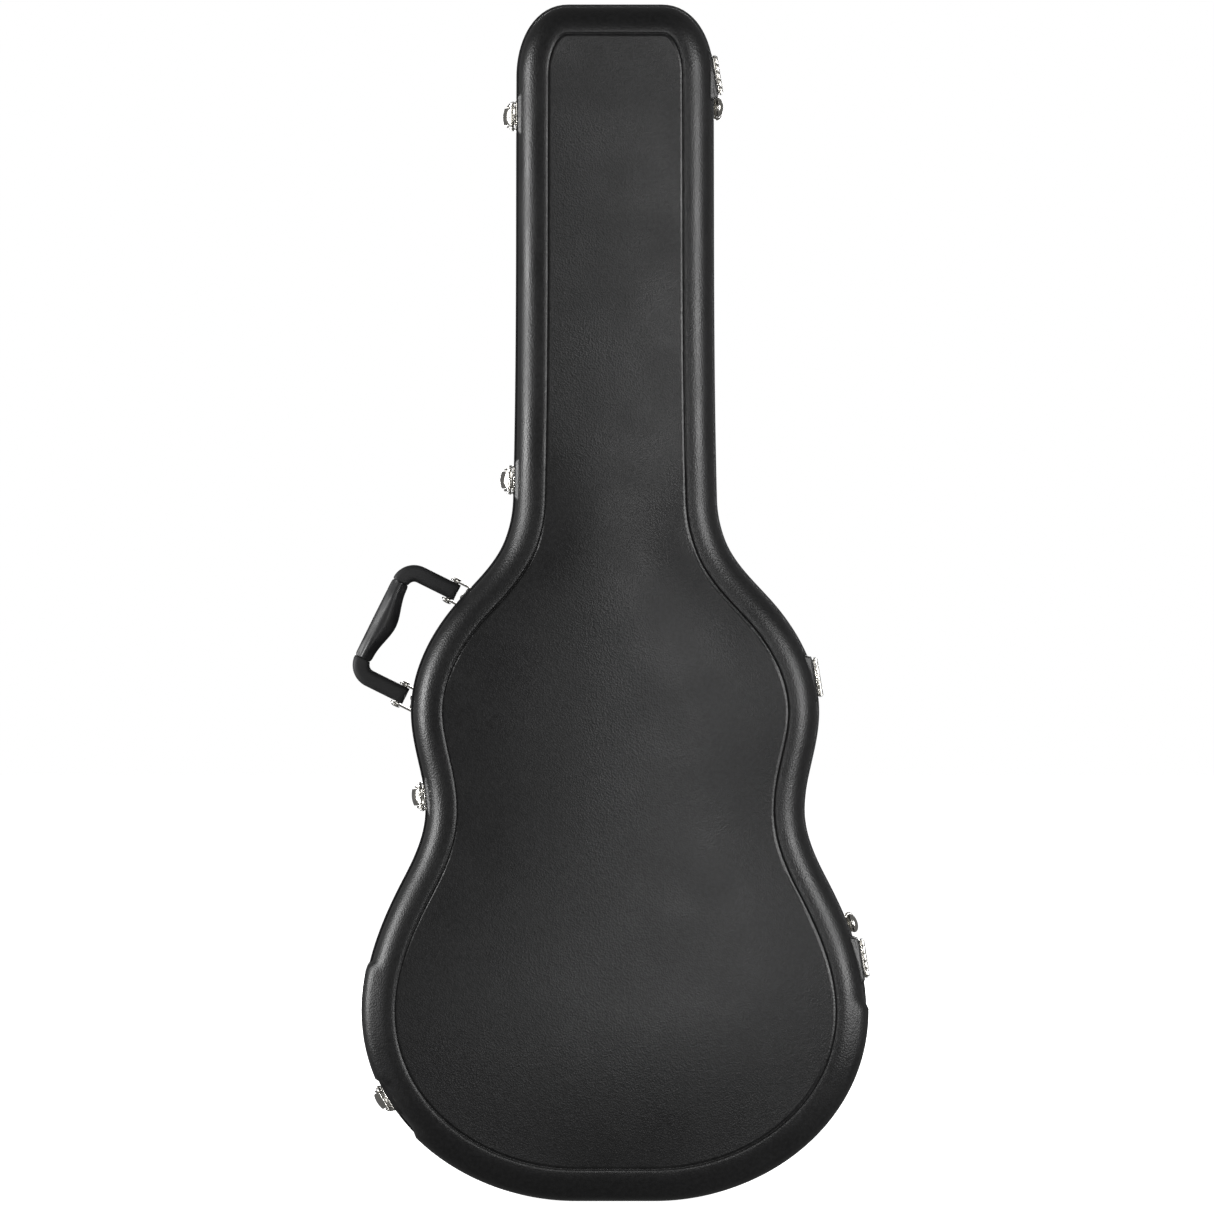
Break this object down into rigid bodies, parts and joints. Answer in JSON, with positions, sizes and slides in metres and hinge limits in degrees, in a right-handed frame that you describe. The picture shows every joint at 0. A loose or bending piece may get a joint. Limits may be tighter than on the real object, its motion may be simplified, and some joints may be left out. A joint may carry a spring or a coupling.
{
  "type": "guitar case",
  "caption": "Hard-shell guitar case in the outline of the instrument, with a hinged lid, draw latches, a folding handle, spine feet and a plush-lined well.",
  "frame": {"origin": "middle of the flat foot that the case stands on, half way through its depth", "axes": "+Z along the neck, upwards as the case stands; +X towards the hinged spine; -Y out of the lid's face"},
  "size_m": [0.465, 0.152, 1.0717],
  "materials": {
    "black_abs": "pebbled black moulded ABS, satin",
    "black_rim": "satin black anodised rim extrusion",
    "nickel": "bright nickel plate",
    "steel": "plain steel",
    "handle_rubber": "fine textured black rubber",
    "handle_grip": "smooth satin black grip",
    "plush": "short black plush over foam",
    "ribbon": "woven black ribbon"
  },
  "bodies": {
    "base": {"base_lining": "plush", "base_shell": "black_abs", "base_valance": "black_rim", "foot_bottom_back": "nickel", "foot_bottom_front": "nickel", "foot_top_back": "nickel", "foot_top_front": "nickel", "handle_bracket_lower": "nickel", "handle_bracket_upper": "nickel", "handle_pin_lower": "nickel", "handle_pin_upper": "nickel", "hinge_bottom_base_leaf": "nickel", "hinge_bottom_pin": "steel", "hinge_middle_base_leaf": "nickel", "hinge_middle_pin": "steel", "hinge_top_base_leaf": "nickel", "hinge_top_pin": "steel", "latch_1_pin": "steel", "latch_1_plate": "nickel", "latch_2_pin": "steel", "latch_2_plate": "nickel", "latch_3_pin": "steel", "latch_3_plate": "nickel", "latch_4_pin": "steel", "latch_4_plate": "nickel", "neck_cradle": "plush"},
    "lid": {"hinge_bottom_lid_leaf": "nickel", "hinge_middle_lid_leaf": "nickel", "hinge_top_lid_leaf": "nickel", "latch_1_strike": "nickel", "latch_2_strike": "nickel", "latch_3_strike": "nickel", "latch_4_strike": "nickel", "lid_lining": "plush", "lid_shell": "black_abs", "lid_valance": "black_rim"},
    "handle": {"handle_arm_lower": "handle_rubber", "handle_arm_upper": "handle_rubber", "handle_grip": "handle_grip", "handle_strap": "steel"},
    "latch_1_hook": {"latch_1_hook": "nickel"},
    "latch_1_lever": {"latch_1_lever": "nickel"},
    "latch_2_hook": {"latch_2_hook": "nickel"},
    "latch_2_lever": {"latch_2_lever": "nickel"},
    "latch_3_hook": {"latch_3_hook": "nickel"},
    "latch_3_lever": {"latch_3_lever": "nickel"},
    "latch_4_hook": {"latch_4_hook": "nickel"},
    "latch_4_lever": {"latch_4_lever": "nickel"},
    "pocket_flap": {"pocket_flap": "plush", "pocket_pull": "ribbon"}
  },
  "joints": [
    {"name": "lid_hinge", "type": "hinge", "parent": "base", "child": "lid", "pos_m": [0.0922, -0.025, 1.009], "axis": [-0.1637, 0, 0.9865], "range_deg": [0, 105]},
    {"name": "handle_swing", "type": "hinge", "parent": "base", "child": "handle", "pos_m": [-0.1697, 0, 0.5001], "axis": [-0.4443, 0, -0.8959], "range_deg": [-75, 75]},
    {"name": "latch_1_lever", "type": "hinge", "parent": "base", "child": "latch_1_lever", "pos_m": [-0.09183, -0.011, 0.97302], "axis": [0.0039, 0, 1], "range_deg": [0, 110]},
    {"name": "latch_1_hook", "type": "hinge", "parent": "latch_1_lever", "child": "latch_1_hook", "pos_m": [-0.09503, -0.0045, 0.97303], "axis": [0.0039, 0, 1], "range_deg": [-150, 0]},
    {"name": "latch_2_lever", "type": "hinge", "parent": "base", "child": "latch_2_lever", "pos_m": [-0.0943, -0.011, 0.64612], "axis": [0.0222, 0, 0.9998], "range_deg": [0, 110]},
    {"name": "latch_2_hook", "type": "hinge", "parent": "latch_2_lever", "child": "latch_2_hook", "pos_m": [-0.0975, -0.0045, 0.64619], "axis": [0.0222, 0, 0.9998], "range_deg": [-150, 0]},
    {"name": "latch_3_lever", "type": "hinge", "parent": "base", "child": "latch_3_lever", "pos_m": [-0.17387, -0.011, 0.36147], "axis": [-0.0954, 0, 0.9954], "range_deg": [0, 110]},
    {"name": "latch_3_hook", "type": "hinge", "parent": "latch_3_lever", "child": "latch_3_hook", "pos_m": [-0.17706, -0.0045, 0.36117], "axis": [-0.0954, 0, 0.9954], "range_deg": [-150, 0]},
    {"name": "latch_4_lever", "type": "hinge", "parent": "base", "child": "latch_4_lever", "pos_m": [-0.20653, -0.011, 0.09019], "axis": [-0.5102, 0, 0.8601], "range_deg": [0, 110]},
    {"name": "latch_4_hook", "type": "hinge", "parent": "latch_4_lever", "child": "latch_4_hook", "pos_m": [-0.20928, -0.0045, 0.08856], "axis": [-0.5102, 0, 0.8601], "range_deg": [-150, 0]},
    {"name": "pocket_flap", "type": "hinge", "parent": "base", "child": "pocket_flap", "pos_m": [-0.032, 0.0162, 0.742], "axis": [0, 0, -1], "range_deg": [0, 100]}
  ],
  "couplings": [
    {"joint": "latch_1_hook", "follows": "latch_1_lever", "ratio": -1.35},
    {"joint": "latch_2_hook", "follows": "latch_2_lever", "ratio": -1.35},
    {"joint": "latch_3_hook", "follows": "latch_3_lever", "ratio": -1.35},
    {"joint": "latch_4_hook", "follows": "latch_4_lever", "ratio": -1.35}
  ]
}
